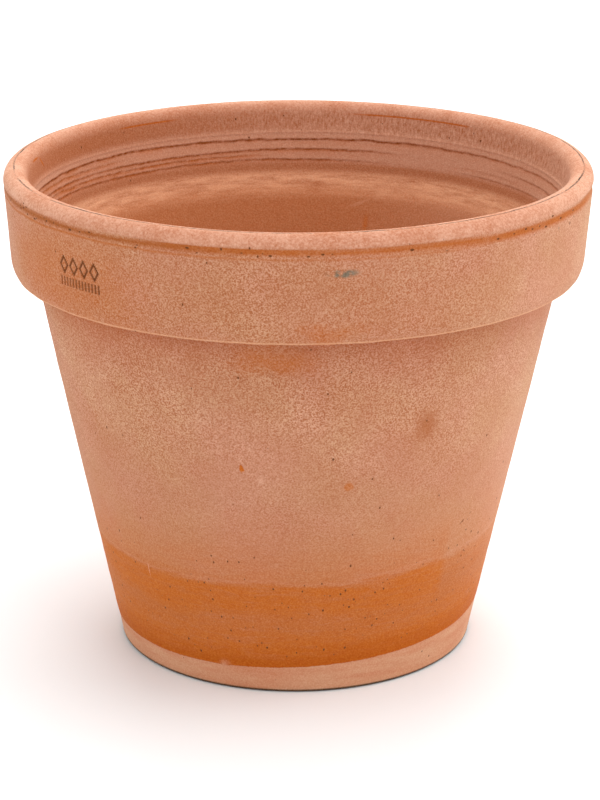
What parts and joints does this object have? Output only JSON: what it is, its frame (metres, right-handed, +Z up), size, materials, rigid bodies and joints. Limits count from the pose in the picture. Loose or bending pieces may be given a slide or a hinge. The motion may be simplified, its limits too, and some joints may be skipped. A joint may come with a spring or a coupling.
{
  "type": "flower pot",
  "caption": "Round tapered clay pot with a band-shaped rim, an inner ledge below the mouth, an open top and a central drain hole in its recessed foot.",
  "frame": {"origin": "centre of the foot ring, on the plane that the pot stands on", "axes": "+Z up along the pot's axis; the impressed size mark sits on the rim at the -X -Y side"},
  "size_m": [0.21, 0.21, 0.1776],
  "materials": {
    "terracotta": "unglazed fired clay, matt, with a pale mineral bloom and a more orange lower third"
  },
  "bodies": {
    "root": {"pot": "terracotta"}
  },
  "joints": []
}
